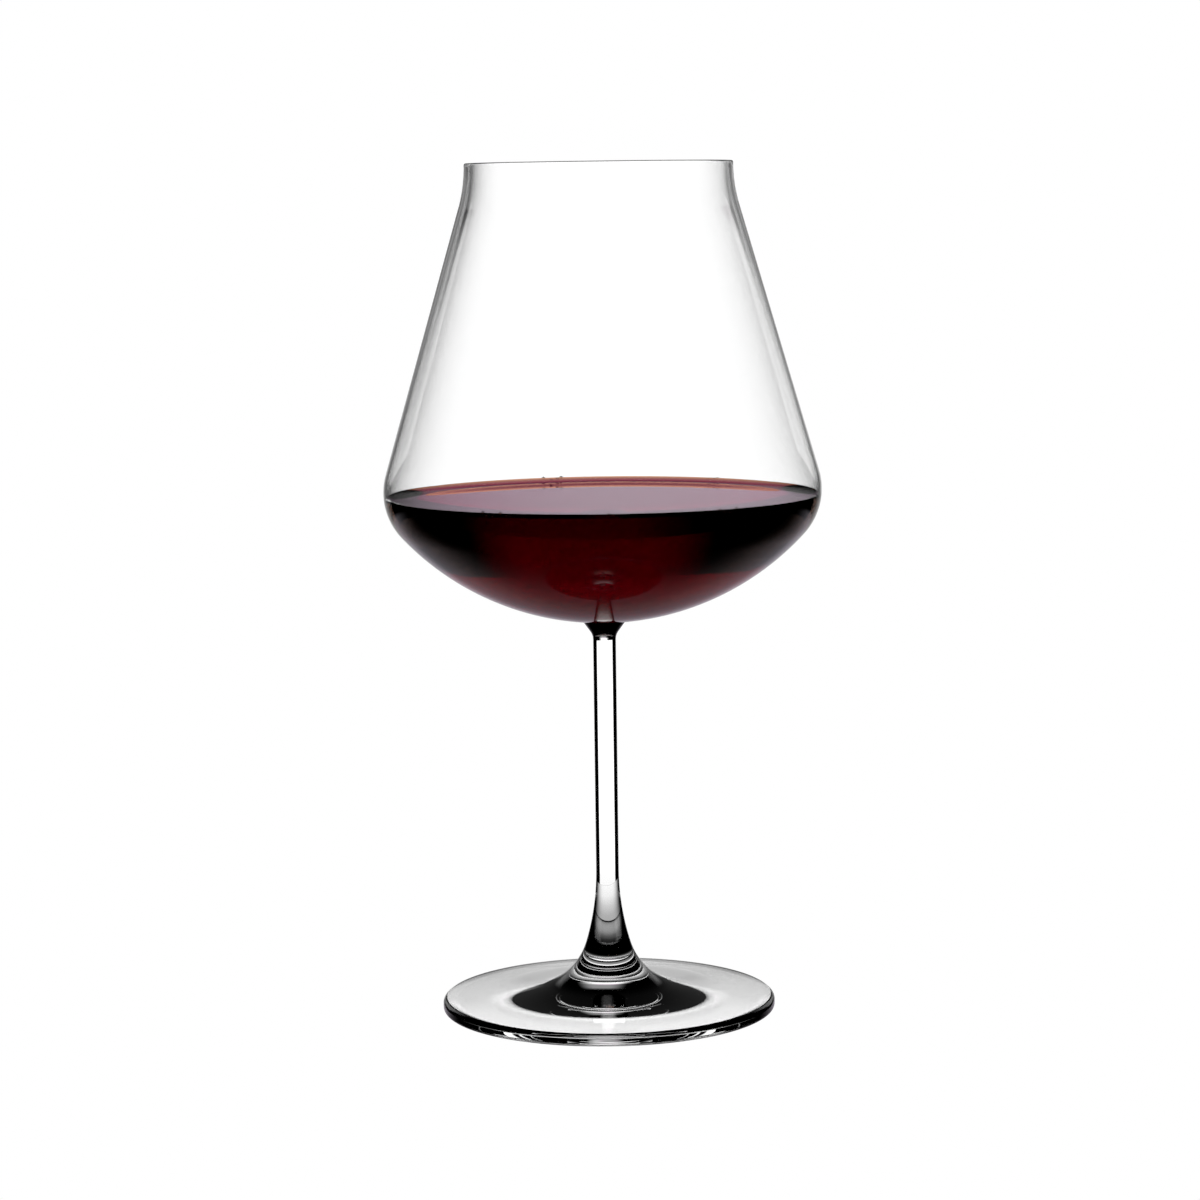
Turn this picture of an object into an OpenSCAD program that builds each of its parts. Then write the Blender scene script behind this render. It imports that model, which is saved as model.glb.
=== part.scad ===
// Large stemmed wine glass, part filled with red wine.
// Both pieces are turned about the upright Z axis. The glass rests on z = 0.

/* [Overall] */
// Height from the table to the rim
total_h = 235; // [200:1:285]
// Height of the bowl from its underside to the rim
bowl_h = 126.1; // [108:0.1:150]
// Widest outside diameter of the bowl
bowl_d = 120.6; // [110:0.1:145]
// Outside diameter of the mouth at the rim
rim_d = 73.4; // [61:0.1:89]
// Diameter of the foot
foot_d = 92.8; // [84:0.1:112]

/* [Bowl] */
// Height of the widest place above the underside of the bowl
shoulder_h = 36.5; // [32:0.1:44]
// Outside radius of the round shoulder at the widest place
shoulder_r = 17.8; // [13:0.1:20]
// Outside radius of the hollow curve that turns the mouth upright
neck_r = 41; // [25:1:60]
// Thickness of the wall
wall = 1.1; // [0.9:0.1:1.8]
// Thickness of the glass under the middle of the wine
bottom_wall = 1.7; // [1.2:0.1:3.5]

/* [Wine] */
// Depth of the wine at the middle
wine_depth = 32.1; // [16:0.1:42]

/* [Stem] */
// Diameter of the stem
stem_d = 6.3; // [5:0.1:9]
// Diameter of the collar where it meets the bowl
collar_d = 12.2; // [10:0.1:16]
// Slope of the collar away from upright, in degrees
collar_slope = 36; // [28:1:48]
// Radius of the curve from the stem into the collar
collar_r = 4; // [2:0.1:6]

/* [Foot] */
// Thickness of the foot at its edge
foot_edge = 3.5; // [2.8:0.1:5]
// Radius of the lower corner of the edge
edge_low_r = 1.1; // [0.6:0.1:1.4]
// Radius of the upper corner of the edge
edge_top_r = 1.4; // [0.6:0.1:1.4]
// Slope of the upper face of the foot, in degrees
foot_slope = 4; // [2:0.5:6]
// Width of the flat ring that the glass rests on
rest_ring = 2.4; // [1.5:0.1:4]
// Rise of the hollow underside at the middle
foot_hollow = 1.6; // [0.8:0.1:2.4]
// Radius of the long upper curve of the flare
flare_top_r = 70; // [55:1:80]
// Turn of the long upper curve, in degrees
flare_top_turn = 17; // [12:1:20]
// Radius of the middle curve of the flare
flare_mid_r = 19; // [14:0.5:22]
// Turn of the middle curve, in degrees
flare_mid_turn = 26; // [20:1:30]
// Radius of the low curve of the flare
flare_low_r = 14.5; // [10:0.5:17]
// Turn of the low curve, in degrees
flare_low_turn = 33; // [25:1:36]
// Radius of the wide curve that runs out into the foot
skirt_r = 100; // [40:1:120]

/* [Hidden] */
$fn = 128;
arc_step = 3;

// Points of an arc of radius r about c, from angle a to angle b.
function arc(c, r, a, b) =
    let (n = ceil(abs(b - a) / arc_step))
    [for (i = [0:n]) c + r * [cos(a + (b - a) * i / n), sin(a + (b - a) * i / n)]];

// Radius of an arc centred on the axis that touches a shoulder from inside.
// The shoulder's centre is h above the arc's lowest point and x off the axis.
function belly_r(h, x, r) = (h * h + x * x - r * r) / (2 * (h - r));

// Direction in which the straight side leaves the shoulder at a and joins
// the neck curve at b, whose radii are ra and rb.
function side_angle(a, b, ra, rb) =
    atan2(b[1] - a[1], b[0] - a[0]) - acos((ra + rb) / norm(b - a));

// One face of the bowl from the axis at height low up to its upright lip.
// Inside and outside share the centres of the shoulder and the neck curve.
function bowl_side(low, rs, rn) =
    let (rb = belly_r(shoulder_c[1] - low, shoulder_c[0], rs),
         centre = [0, low + rb],
         touch = atan2(shoulder_c[1] - centre[1], shoulder_c[0]),
         side = side_angle(shoulder_c, neck_c, rs, rn))
    concat(arc(centre, rb, -90, touch),
           arc(shoulder_c, rs, touch, side),
           arc(neck_c, rn, 180 + side, 180));

// The part of an outline below height z, closed on the outline itself.
function below(pts, z) =
    let (k = max([for (i = [0:len(pts) - 1]) if (pts[i][1] < z) i]),
         t = (z - pts[k][1]) / (pts[k + 1][1] - pts[k][1]))
    concat([for (i = [0:k]) pts[i]], [pts[k] + t * (pts[k + 1] - pts[k])]);

// The part of an outline further than x from the axis.
function beyond(pts, x) = [for (p = pts) if (p[0] > x) p];

// Bowl: centres of its curves, and its two faces
bowl_z = total_h - bowl_h;
lip_r = wall / 2;
shoulder_c = [bowl_d / 2 - shoulder_r, bowl_z + shoulder_h];
neck_c = [rim_d / 2 + neck_r, total_h - lip_r];
outer = bowl_side(bowl_z, shoulder_r, neck_r);
inner = bowl_side(bowl_z + bottom_wall, shoulder_r - wall, neck_r + wall);
lip = arc([rim_d / 2 - lip_r, total_h - lip_r], lip_r, 0, 180);

// Wine: its flat surface
wine_z = bowl_z + bottom_wall + wine_depth;

// Foot: the rounded edge, then the flare that climbs to the stem
foot_r = foot_d / 2;
edge = concat(arc([foot_r - edge_low_r, edge_low_r], edge_low_r, -90, 0),
              arc([foot_r - edge_top_r, foot_edge - edge_top_r], edge_top_r, 0, 90 - foot_slope));
rest_in = foot_r - edge_low_r - rest_ring;
hollow_r = (rest_in * rest_in + foot_hollow * foot_hollow) / (2 * foot_hollow);
hollow = arc([0, foot_hollow - hollow_r], hollow_r, 90, 90 - asin(rest_in / hollow_r));

// Flare: four curves that meet smoothly, given by how far they have turned
stem_r = stem_d / 2;
turn_1 = flare_top_turn;
turn_2 = turn_1 + flare_mid_turn;
turn_3 = turn_2 + flare_low_turn;
turn_4 = 90 - foot_slope;
flare_c1 = [stem_r + flare_top_r, 0];
flare_c2 = flare_c1 + (flare_top_r - flare_mid_r) * [-cos(turn_1), -sin(turn_1)];
flare_c3 = flare_c2 + (flare_mid_r - flare_low_r) * [-cos(turn_2), -sin(turn_2)];
flare_c4 = flare_c3 + (flare_low_r - skirt_r) * [-cos(turn_3), -sin(turn_3)];
flare_end = flare_c4 + skirt_r * [-cos(turn_4), -sin(turn_4)];
edge_end = edge[len(edge) - 1];
flare_z = edge_end[1] + (edge_end[0] - flare_end[0]) * tan(foot_slope) - flare_end[1];
flare = concat(arc(flare_c4, skirt_r, 180 + turn_4, 180 + turn_3),
               arc(flare_c3, flare_low_r, 180 + turn_3, 180 + turn_2),
               arc(flare_c2, flare_mid_r, 180 + turn_2, 180 + turn_1),
               arc(flare_c1, flare_top_r, 180 + turn_1, 180));
flare_up = [for (p = flare) p + [0, flare_z]];

// Collar: a curve out of the stem, then a cone up to the underside of the bowl
collar_out = collar_d / 2;
under_r = belly_r(shoulder_h, shoulder_c[0], shoulder_r);
collar_z = bowl_z + under_r - sqrt(under_r * under_r - collar_out * collar_out);
bend_out = stem_r + collar_r * (1 - cos(collar_slope));
bend_z = collar_z - (collar_out - bend_out) / tan(collar_slope);
bend_c = [stem_r + collar_r, bend_z - collar_r * sin(collar_slope)];
collar = concat(arc(bend_c, collar_r, 180, 180 - collar_slope), [[collar_out, collar_z]]);

module glass() {
    color([0.9, 0.93, 0.94, 0.35])
        rotate_extrude()
            polygon(concat(hollow, edge, flare_up, collar, beyond(outer, collar_out), lip,
                           [for (i = [len(inner) - 1:-1:0]) inner[i]]));
}

module wine() {
    color([0.23, 0, 0.05])
        rotate_extrude()
            polygon(concat(below(inner, wine_z), [[0, wine_z]]));
}

glass();
wine();
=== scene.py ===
"""A large stemmed glass of red wine: the turned glass, the wine and its bubbles, and the studio."""

from math import acos, acosh, asin, atan2, ceil, cos, degrees, hypot, radians, sin, sqrt, tan

import bmesh
import bpy
from mathutils import Euler, Matrix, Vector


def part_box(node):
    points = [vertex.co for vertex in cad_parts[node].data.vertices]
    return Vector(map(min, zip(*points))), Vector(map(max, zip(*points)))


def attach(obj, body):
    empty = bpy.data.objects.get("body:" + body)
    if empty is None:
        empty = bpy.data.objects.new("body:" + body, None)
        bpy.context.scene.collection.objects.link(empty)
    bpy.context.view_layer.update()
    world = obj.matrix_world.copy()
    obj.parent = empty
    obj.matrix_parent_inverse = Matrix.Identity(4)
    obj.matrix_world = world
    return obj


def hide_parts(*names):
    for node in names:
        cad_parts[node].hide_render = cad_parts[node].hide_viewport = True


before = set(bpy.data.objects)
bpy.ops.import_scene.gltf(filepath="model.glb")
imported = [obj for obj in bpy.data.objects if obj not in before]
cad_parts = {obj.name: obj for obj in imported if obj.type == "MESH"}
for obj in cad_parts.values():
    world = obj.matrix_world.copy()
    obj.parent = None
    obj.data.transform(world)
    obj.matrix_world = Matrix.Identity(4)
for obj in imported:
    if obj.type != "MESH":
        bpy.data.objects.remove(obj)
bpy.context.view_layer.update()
glass_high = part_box("glass")[1]
wine_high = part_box("wine")[1]

MM = 0.001

# Bowl: its height, place and width from the frame, the rest from the glass's own named sizes
RIM_Z = glass_high[2]
BOWL_R = glass_high[0]
BOWL_Z = RIM_Z - 126.1 * MM
RIM_R = 73.4 * MM / 2
SHOULDER_H = 36.5 * MM
SHOULDER_R = 17.8 * MM
NECK_R = 41 * MM
WALL = 1.1 * MM
SHOULDER_WALL = 0.75 * MM
BOTTOM_WALL = 1.7 * MM

# Stem and collar
STEM_R = 6.3 * MM / 2
COLLAR_R = 12.2 * MM / 2
COLLAR_SLOPE = 36
COLLAR_BEND_R = 4 * MM

# Foot and flare
FOOT_R = 92.8 * MM / 2
FOOT_EDGE = 3.5 * MM
EDGE_LOW_R = 1.1 * MM
EDGE_TOP_R = 1.4 * MM
FOOT_SLOPE = 4
REST_RING = 2.4 * MM
FOOT_HOLLOW = 1.6 * MM
FLARE_TOP_R = 70 * MM
FLARE_TOP_TURN = 17
FLARE_MID_R = 19 * MM
FLARE_MID_TURN = 26
FLARE_LOW_R = 14.5 * MM
FLARE_LOW_TURN = 33
SKIRT_R = 100 * MM

# Wine: its level, how far it reaches into the wall, and how it climbs the clean glass.
# The climb's points crowd towards the level by CROWDING and stop where it is flat enough.
LEVEL = wine_high[2]
INTO_WALL = 0.2 * MM
CAPILLARY = 2.2 * MM
CLIMB = 1.6 * MM
FLAT_ENOUGH = 0.01 * MM
CLIMB_POINTS = 40
CROWDING = 1.5

# Bubbles along the wine's edge: the middle of each group, in degrees from the front, and how
# many it has. Their spacing wanders, and the smallest is SMALLEST_BUBBLE times the largest.
BUBBLE_GROUPS = [(-27, 6), (34, 4), (3, 2), (148, 3), (-165, 4), (97, 2)]
BUBBLE_STEP = 1.6
BUBBLE_WANDER = 0.5
BUBBLE_R = 0.42 * MM
SMALLEST_BUBBLE = 0.55
BUBBLE_FINENESS = 3

# How finely the outlines are cut and turned, and the angle from which an edge is crisp
ARC_STEP = 6
LONGEST_STEP = 1.2 * MM
SIDES = 224
MERGE = 0.001 * MM
CRISP_ANGLE = 40

# Surface of the glass: its roughness where clearest, what smears add to it, and their scale
CLEAREST = 0.002
SMEARED = 0.006
SMEAR_SCALE = 55.0

# Camera: nearly level with the rim, tilted down and rolled a little
CAMERA_BACK = 930 * MM
CAMERA_Z = 227 * MM
CAMERA_LEFT = 1.1 * MM
TILT = 6.88
ROLL = 0.75
LENS = 101.6
SENSOR = 36

# Studio: a tent of light seen through the glass, and another one mirrored in it.
# Each patch of light has its brightness at heights above the horizon, the middle it is
# centred on, where it fades out to the sides, all in degrees, and its colour.
TENT_R = 3
TENT_FINENESS = 5
TENT_AWAY = hypot(CAMERA_BACK, CAMERA_Z / 2)
PLAIN = (1, 1, 1)
PINK = (1, 0.1, 0.85)
LILAC = (1, 0.92, 1.04)
SEEN_THROUGH = [
    ([(-60, 0.0), (-50, 0.02), (-42, 0.12), (-35, 0.35), (-26, 0.47), (-23, 0.65), (-20, 0.95),
      (-17, 1.05), (-16.9, 0)], 0, (14, 60), PLAIN),
    ([(-17, 0), (-16.9, 1.05), (-14, 1.1), (-12.5, 1.4), (-10, 1.4), (-8, 1.35), (-5.6, 1.25),
      (-5.5, 0)], 0, (31, 33), PLAIN),
    ([(-12.5, 0), (-10.5, 0.35), (-7, 0.35), (-5.6, 0)], 0, (4, 9), PLAIN),
    ([(-5.6, 0), (-5.5, 1.25), (3, 1.25), (4.4, 0)], 2, (6, 17), PLAIN),
    ([(3, 0), (4.4, 0.57), (7.5, 0.57), (9, 0.3), (19, 0.3), (26, 0)], 4.5, (4, 16), PLAIN),
    ([(3, 0), (4.4, 0.12), (7.5, 0.12), (8.5, 0)], 1, (4, 9), PINK),
]
MIRRORED = [
    ([(-80, 0.02), (-62, 0.06), (-50, 0.08), (-42, 0.12), (-36, 0.18), (-24, 0.3), (-17, 0.5),
      (-14, 0.5), (-12, 0)], 0, (12, 55), LILAC),
    ([(-14, 0), (-12, 0.6), (0, 0.6), (5, 0.12), (30, 0.03), (60, 0)], 0, (7, 34), PLAIN),
    ([(0, 0), (5, 0.6), (20, 0.6), (30, 0)], 28, (6, 14), PLAIN),
    ([(0, 0), (5, 0.6), (20, 0.6), (30, 0)], -28, (6, 14), PLAIN),
]
FLOOR_GAP = 0.2 * MM
FLOOR_SIZE = 12
BACKDROP_BEHIND = 6
BACKDROP_SIZE = 8


class Outline:
    """One side of a turned piece, drawn on from its last vertex in the XZ plane."""

    def __init__(self, r, z):
        self.bm = bmesh.new()
        self.tip = self.bm.verts.new((r, 0, z))

    def line(self, r, z):
        corner = self.bm.verts.new((r, 0, z))
        self.bm.edges.new((self.tip, corner))
        self.tip = corner

    def arc(self, centre, turn):
        """Goes on round centre, anticlockwise by turn degrees."""
        radius = hypot(self.tip.co.x - centre[0], self.tip.co.z - centre[1])
        steps = max(ceil(abs(turn) / ARC_STEP), ceil(radius * radians(abs(turn)) / LONGEST_STEP))
        spun = bmesh.ops.spin(
            self.bm, geom=[self.tip], cent=(centre[0], 0, centre[1]),
            axis=(0, -1, 0), angle=radians(turn), steps=steps,
        )
        self.tip = spun["geom_last"][0]

    def turned(self, name, material):
        """Turns the outline once round the upright axis and gives the closed piece."""
        bm = self.bm
        bmesh.ops.spin(
            bm, geom=bm.verts[:] + bm.edges[:], cent=(0, 0, 0),
            axis=(0, 0, 1), angle=radians(360), steps=SIDES, use_merge=True,
        )
        bmesh.ops.remove_doubles(bm, verts=bm.verts[:], dist=MERGE)
        bmesh.ops.recalc_face_normals(bm, faces=bm.faces[:])
        return piece_of(bm, name, material)


def piece_of(bm, name, material):
    """Makes the bmesh an object at the origin, smooth except at its crisp edges."""
    mesh = bpy.data.meshes.new(name)
    bm.to_mesh(mesh)
    bm.free()
    mesh.shade_smooth()
    mesh.set_sharp_from_angle(angle=radians(CRISP_ANGLE))
    mesh.materials.append(material)
    piece = bpy.data.objects.new(name, mesh)
    bpy.context.scene.collection.objects.link(piece)
    return piece


# ---- The curves that the glass and the wine share ----

SHOULDER_C = (BOWL_R - SHOULDER_R, BOWL_Z + SHOULDER_H)
NECK_C = (RIM_R + NECK_R, RIM_Z - WALL / 2)


def belly(low, shoulder):
    """Centre height, radius and end angle of the belly's arc, from its lowest point to the shoulder."""
    x = SHOULDER_C[0]
    h = SHOULDER_C[1] - low
    r = (h * h + x * x - shoulder * shoulder) / (2 * (h - shoulder))
    return low + r, r, degrees(atan2(h - r, x))


def side(shoulder, neck):
    """Direction, in degrees, in which the straight side leaves the shoulder for the neck."""
    dx = NECK_C[0] - SHOULDER_C[0]
    dz = NECK_C[1] - SHOULDER_C[1]
    return degrees(atan2(dz, dx) - acos((shoulder + neck) / hypot(dx, dz)))


def on_circle(centre, radius, angle):
    """The point of a circle at an angle in degrees."""
    return centre[0] + radius * cos(radians(angle)), centre[1] + radius * sin(radians(angle))


# ---- The glass ----

def foot_and_stem(line):
    """From the middle of the hollow underside, round the edge and up the stem to the bowl."""
    rest_in = FOOT_R - EDGE_LOW_R - REST_RING
    hollow_r = (rest_in ** 2 + FOOT_HOLLOW ** 2) / (2 * FOOT_HOLLOW)
    line.arc((0, FOOT_HOLLOW - hollow_r), -degrees(asin(rest_in / hollow_r)))
    line.line(FOOT_R - EDGE_LOW_R, 0)
    line.arc((FOOT_R - EDGE_LOW_R, EDGE_LOW_R), 90)
    line.line(FOOT_R, FOOT_EDGE - EDGE_TOP_R)
    line.arc((FOOT_R - EDGE_TOP_R, FOOT_EDGE - EDGE_TOP_R), 90 - FOOT_SLOPE)
    turn_1 = FLARE_TOP_TURN
    turn_2 = turn_1 + FLARE_MID_TURN
    turn_3 = turn_2 + FLARE_LOW_TURN
    turn_4 = 90 - FOOT_SLOPE
    top = (STEM_R + FLARE_TOP_R, 0)
    middle = on_circle(top, FLARE_TOP_R - FLARE_MID_R, 180 + turn_1)
    low = on_circle(middle, FLARE_MID_R - FLARE_LOW_R, 180 + turn_2)
    skirt = on_circle(low, FLARE_LOW_R - SKIRT_R, 180 + turn_3)
    end = on_circle(skirt, SKIRT_R, 180 + turn_4)
    edge_r, edge_z = line.tip.co.x, line.tip.co.z
    lift = edge_z + (edge_r - end[0]) * tan(radians(FOOT_SLOPE)) - end[1]
    line.line(end[0], end[1] + lift)
    line.arc((skirt[0], skirt[1] + lift), turn_3 - turn_4)
    line.arc((low[0], low[1] + lift), turn_2 - turn_3)
    line.arc((middle[0], middle[1] + lift), turn_1 - turn_2)
    line.arc((top[0], lift), -turn_1)


def collar(line):
    """The curve out of the stem and the short cone that carries the bowl."""
    belly_z, belly_r, _ = belly(BOWL_Z, SHOULDER_R)
    top_z = belly_z - sqrt(belly_r ** 2 - COLLAR_R ** 2)
    bend_out = STEM_R + COLLAR_BEND_R * (1 - cos(radians(COLLAR_SLOPE)))
    bend_z = top_z - (COLLAR_R - bend_out) / tan(radians(COLLAR_SLOPE))
    centre_z = bend_z - COLLAR_BEND_R * sin(radians(COLLAR_SLOPE))
    line.line(STEM_R, centre_z)
    line.arc((STEM_R + COLLAR_BEND_R, centre_z), -COLLAR_SLOPE)
    line.line(COLLAR_R, top_z)


def bowl_outside(line):
    """Up the belly, round the shoulder, up the side and neck, and over the round lip."""
    belly_z, belly_r, touch = belly(BOWL_Z, SHOULDER_R)
    start = degrees(atan2(line.tip.co.z - belly_z, line.tip.co.x))
    way = side(SHOULDER_R, NECK_R)
    line.arc((0, belly_z), touch - start)
    line.arc(SHOULDER_C, way - touch)
    line.line(*on_circle(NECK_C, NECK_R, 180 + way))
    line.arc(NECK_C, -way)
    line.arc((RIM_R - WALL / 2, RIM_Z - WALL / 2), 180)


def bowl_inside(line):
    """Back down the inner wall to the middle of the bowl."""
    shoulder = SHOULDER_R - SHOULDER_WALL
    neck = NECK_R + WALL
    belly_z, _, touch = belly(BOWL_Z + BOTTOM_WALL, shoulder)
    way = side(shoulder, neck)
    line.arc(NECK_C, way)
    line.line(*on_circle(SHOULDER_C, shoulder, way))
    line.arc(SHOULDER_C, touch - way)
    line.arc((0, belly_z), -90 - touch)


def glass_piece():
    line = Outline(0, FOOT_HOLLOW)
    foot_and_stem(line)
    collar(line)
    bowl_outside(line)
    bowl_inside(line)
    return line.turned("wine_glass", glass_finish())


# ---- The wine ----

def climb_run(z):
    """How far out the wine's surface stands z above its level, from where it would be upright."""
    return CAPILLARY * (acosh(2 * CAPILLARY / z) - sqrt(4 - (z / CAPILLARY) ** 2))


def wine_piece():
    low = BOWL_Z + BOTTOM_WALL - INTO_WALL
    shoulder = SHOULDER_R - SHOULDER_WALL + INTO_WALL
    belly_z, _, touch = belly(low, shoulder)
    line = Outline(0, low)
    line.arc((0, belly_z), 90 + touch)
    contact = degrees(asin((LEVEL + CLIMB - SHOULDER_C[1]) / shoulder))
    line.arc(SHOULDER_C, contact - touch)
    wall_r = line.tip.co.x - INTO_WALL
    for k in range(CLIMB_POINTS + 1):
        z = CLIMB * (FLAT_ENOUGH / CLIMB) ** ((k / CLIMB_POINTS) ** CROWDING)
        line.line(wall_r + climb_run(CLIMB) - climb_run(z), LEVEL + z)
    line.line(0, LEVEL)
    return line.turned("red_wine", wine_finish())


def bubbles_piece(material):
    """Small bubbles held where the wine meets the wall."""
    bm = bmesh.new()
    z = LEVEL + CLIMB
    wall_r = SHOULDER_C[0] + SHOULDER_R - SHOULDER_WALL
    for middle, count in BUBBLE_GROUPS:
        for k in range(count):
            turn = radians(middle + (k - count / 2) * BUBBLE_STEP + BUBBLE_WANDER * sin(5 * k))
            size = BUBBLE_R * (SMALLEST_BUBBLE + (1 - SMALLEST_BUBBLE) * sin(3 * k + middle) ** 2)
            r = wall_r - size
            place = Matrix.Translation((r * sin(turn), -r * cos(turn), z - size * (k % 3)))
            bmesh.ops.create_icosphere(bm, subdivisions=BUBBLE_FINENESS, radius=size, matrix=place)
    return piece_of(bm, "bubbles", material)


# ---- Finishes ----

class Wire:
    """A shader socket that takes part in Python sums; every sum adds one Math node."""

    def __init__(self, finish, socket):
        self.finish = finish
        self.socket = socket

    def sum(self, operation, a, b):
        return self.finish.node("ShaderNodeMath", {"operation": operation}, [a, b])

    def __add__(self, other):
        return self.sum("ADD", self, other)

    def __sub__(self, other):
        return self.sum("SUBTRACT", self, other)

    def __rsub__(self, other):
        return self.sum("SUBTRACT", other, self)

    def __mul__(self, other):
        return self.sum("MULTIPLY", self, other)

    __radd__ = __add__
    __rmul__ = __mul__


class Finish:
    """A material and the nodes in it."""

    def __init__(self, name):
        self.material = bpy.data.materials.new(name)
        self.material.use_nodes = True
        self.tree = self.material.node_tree
        self.tree.nodes.clear()
        self.out = self.tree.nodes.new("ShaderNodeOutputMaterial")

    def node(self, kind, settings=None, values=None, output=0):
        """Adds a node. Its settings are set first, then the values or wires of its sockets."""
        made = self.tree.nodes.new(kind)
        for name, value in (settings or {}).items():
            setattr(made, name, value)
        pairs = values.items() if isinstance(values, dict) else enumerate(values or [])
        for key, value in pairs:
            if isinstance(value, Wire):
                self.tree.links.new(value.socket, made.inputs[key])
            else:
                made.inputs[key].default_value = value
        return Wire(self, made.outputs[output])

    def ramp(self, value, stops):
        """A smooth grey ramp through the stops, each a place and a brightness."""
        wire = self.node("ShaderNodeValToRGB", values=[value])
        ramp = wire.socket.node.color_ramp
        ramp.elements.remove(ramp.elements[1])
        for number, (place, grey) in enumerate(stops):
            stop = ramp.elements.new(place) if number else ramp.elements[0]
            stop.position = place
            stop.color = (grey, grey, grey, 1)
        return wire

    def show(self, surface, volume=None):
        self.tree.links.new(surface.socket, self.out.inputs["Surface"])
        if volume:
            self.tree.links.new(volume.socket, self.out.inputs["Volume"])
        return self.material


def glass_finish():
    """Clear crystal with the faint smears of a polished glass."""
    f = Finish("clear_crystal")
    place = f.node("ShaderNodeTexCoord", output="Object")
    smear = f.node("ShaderNodeTexNoise", values={"Vector": place, "Scale": SMEAR_SCALE, "Detail": 4.0})
    surface = f.node("ShaderNodeBsdfPrincipled", values={
        "Base Color": (1, 1, 1, 1),
        "Roughness": CLEAREST + SMEARED * smear,
        "IOR": 1.5,
        "Transmission Weight": 1.0,
    })
    return f.show(surface)


def wine_finish():
    """The surface's tint shows in the thin edge of the wine, the body's in its depth."""
    f = Finish("red_wine")
    surface = f.node("ShaderNodeBsdfPrincipled", values={
        "Base Color": (0.97, 0.62, 0.36, 1),
        "Roughness": 0.0,
        "IOR": 1.34,
        "Transmission Weight": 1.0,
    })
    body = f.node("ShaderNodeVolumeAbsorption", values={
        "Color": (0.9435, 0.1, 0.891, 1),
        "Density": 550.0,
    })
    return f.show(surface, body)


# ---- Studio ----

def glow(name, strength):
    f = Finish(name)
    return f.show(f.node("ShaderNodeEmission", values={"Color": (1, 1, 1, 1), "Strength": strength}))


def patch_of_light(f, height, turn, heights, middle, sides):
    """How strongly one patch of the tent shines in a direction."""
    lowest, highest = heights[0][0], heights[-1][0]
    brightest = max(share for _, share in heights)
    span = highest - lowest
    stops = [((h - lowest) / span, share / brightest) for h, share in heights]
    by_height = f.ramp((height - lowest) * (1 / span), stops)
    aside = f.node("ShaderNodeMath", {"operation": "ABSOLUTE"}, [turn - middle])
    by_side = f.node("ShaderNodeMapRange", {"interpolation_type": "SMOOTHSTEP"}, {
        "Value": aside, "From Min": sides[0], "From Max": sides[1], "To Min": brightest, "To Max": 0.0})
    return by_height * by_side


def tent_light(name, patches):
    """Light whose colour depends only on the direction in which the glass sees it."""
    f = Finish(name)
    place = f.node("ShaderNodeTexCoord", output="Object")
    way = f.node("ShaderNodeVectorMath", {"operation": "NORMALIZE"}, [place])
    parts = f.node("ShaderNodeSeparateXYZ", values=[way])
    x, y, z = (Wire(f, parts.socket.node.outputs[axis]) for axis in "XYZ")
    height = f.node("ShaderNodeMath", {"operation": "ARCSINE"}, [y]) * degrees(1)
    turn = f.node("ShaderNodeMath", {"operation": "ARCTAN2"}, [x, z * -1]) * degrees(1)
    lit = [(patch_of_light(f, height, turn, *patch), tint) for *patch, tint in patches]
    channels = [sum(strength * tint[channel] for strength, tint in lit) for channel in range(3)]
    colour = f.node("ShaderNodeCombineXYZ", values=channels)
    return f.show(f.node("ShaderNodeEmission", values={"Color": colour, "Strength": 1.0}))


def sheet(name, width, depth, place, turn, material, parent=None):
    """A flat sheet of the studio, in its parent's space."""
    bm = bmesh.new()
    bmesh.ops.create_grid(bm, x_segments=1, y_segments=1, size=0.5)
    bmesh.ops.scale(bm, vec=(width, depth, 1), verts=bm.verts[:])
    mesh = bpy.data.meshes.new(name)
    bm.to_mesh(mesh)
    bm.free()
    mesh.materials.append(material)
    board = bpy.data.objects.new(name, mesh)
    board.location = place
    board.rotation_euler = turn
    board.parent = parent
    bpy.context.scene.collection.objects.link(board)
    return board


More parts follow.
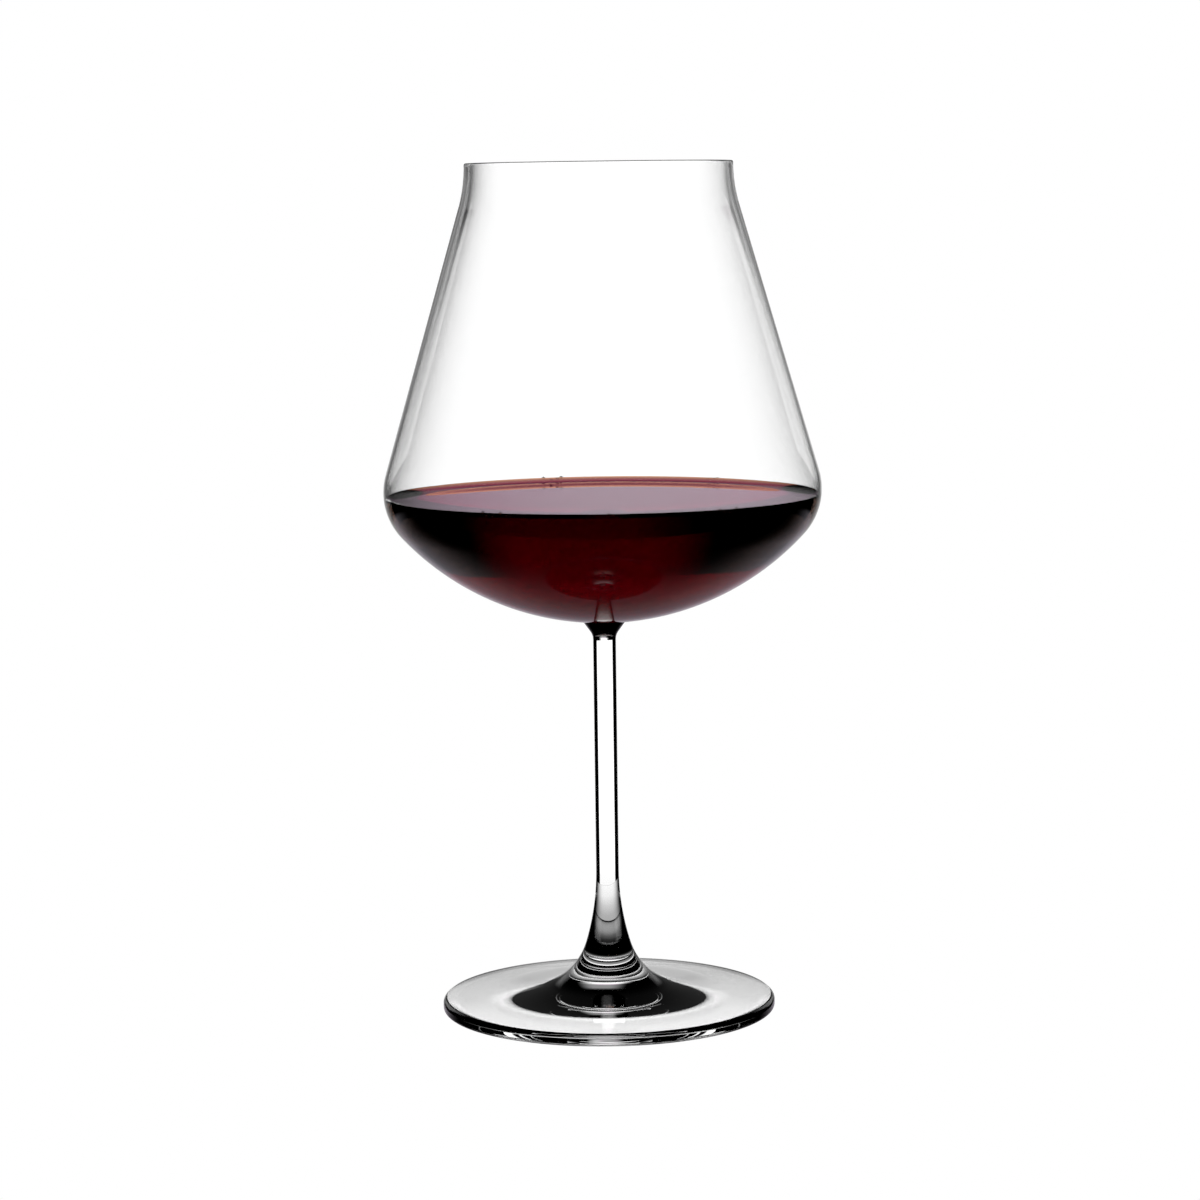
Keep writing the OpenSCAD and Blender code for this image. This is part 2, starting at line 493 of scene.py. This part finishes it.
def camera():
    data = bpy.data.cameras.new("camera")
    data.lens = LENS
    data.sensor_width = SENSOR
    made = bpy.data.objects.new("camera", data)
    upright = Euler((radians(90 - TILT), 0, 0)).to_matrix()
    made.matrix_world = (
        Matrix.Translation((-CAMERA_LEFT, -CAMERA_BACK, CAMERA_Z))
        @ (upright @ Euler((0, 0, radians(-ROLL))).to_matrix()).to_4x4()
    )
    bpy.context.scene.collection.objects.link(made)
    bpy.context.scene.camera = made
    return made


def tent(cam, name, patches):
    """A big ball of light round the glass, carried by the camera and upright at rest."""
    bm = bmesh.new()
    bmesh.ops.create_icosphere(bm, subdivisions=TENT_FINENESS, radius=TENT_R)
    mesh = bpy.data.meshes.new(name)
    bm.to_mesh(mesh)
    bm.free()
    mesh.materials.append(tent_light(name, patches))
    ball = bpy.data.objects.new(name, mesh)
    ball.parent = cam
    ball.location = (0, 0, -TENT_AWAY)
    ball.rotation_euler = (radians(TILT), 0, 0)
    ball.visible_camera = False
    bpy.context.scene.collection.objects.link(ball)
    return ball


def studio(cam):
    """White paper for the camera and the two tents for the glass, which sees no paper."""
    world = bpy.data.worlds.new("dark_room")
    world.use_nodes = True
    world.node_tree.nodes["Background"].inputs["Color"].default_value = (0, 0, 0, 1)
    bpy.context.scene.world = world
    bpy.context.scene.view_settings.view_transform = "Standard"
    white = glow("white_paper", 1)
    floor = sheet("floor", FLOOR_SIZE, FLOOR_SIZE, (0, 0, -FLOOR_GAP), (0, 0, 0), white)
    paper = sheet("backdrop", BACKDROP_SIZE, BACKDROP_SIZE,
                  (0, 0, -CAMERA_BACK - BACKDROP_BEHIND), (0, 0, 0), white, cam)
    for board in (floor, paper):
        board.visible_transmission = False
        board.visible_glossy = False
    through = tent(cam, "light_seen_through_glass", SEEN_THROUGH)
    through.visible_glossy = False
    mirrored = tent(cam, "light_mirrored_in_glass", MIRRORED)
    mirrored.visible_transmission = False


studio(camera())

glass = glass_piece()
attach(glass, "root")
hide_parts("glass")

wine = wine_piece()
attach(wine, "root")
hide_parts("wine")

bubbles = bubbles_piece(glass.data.materials[0])
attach(bubbles, "root")
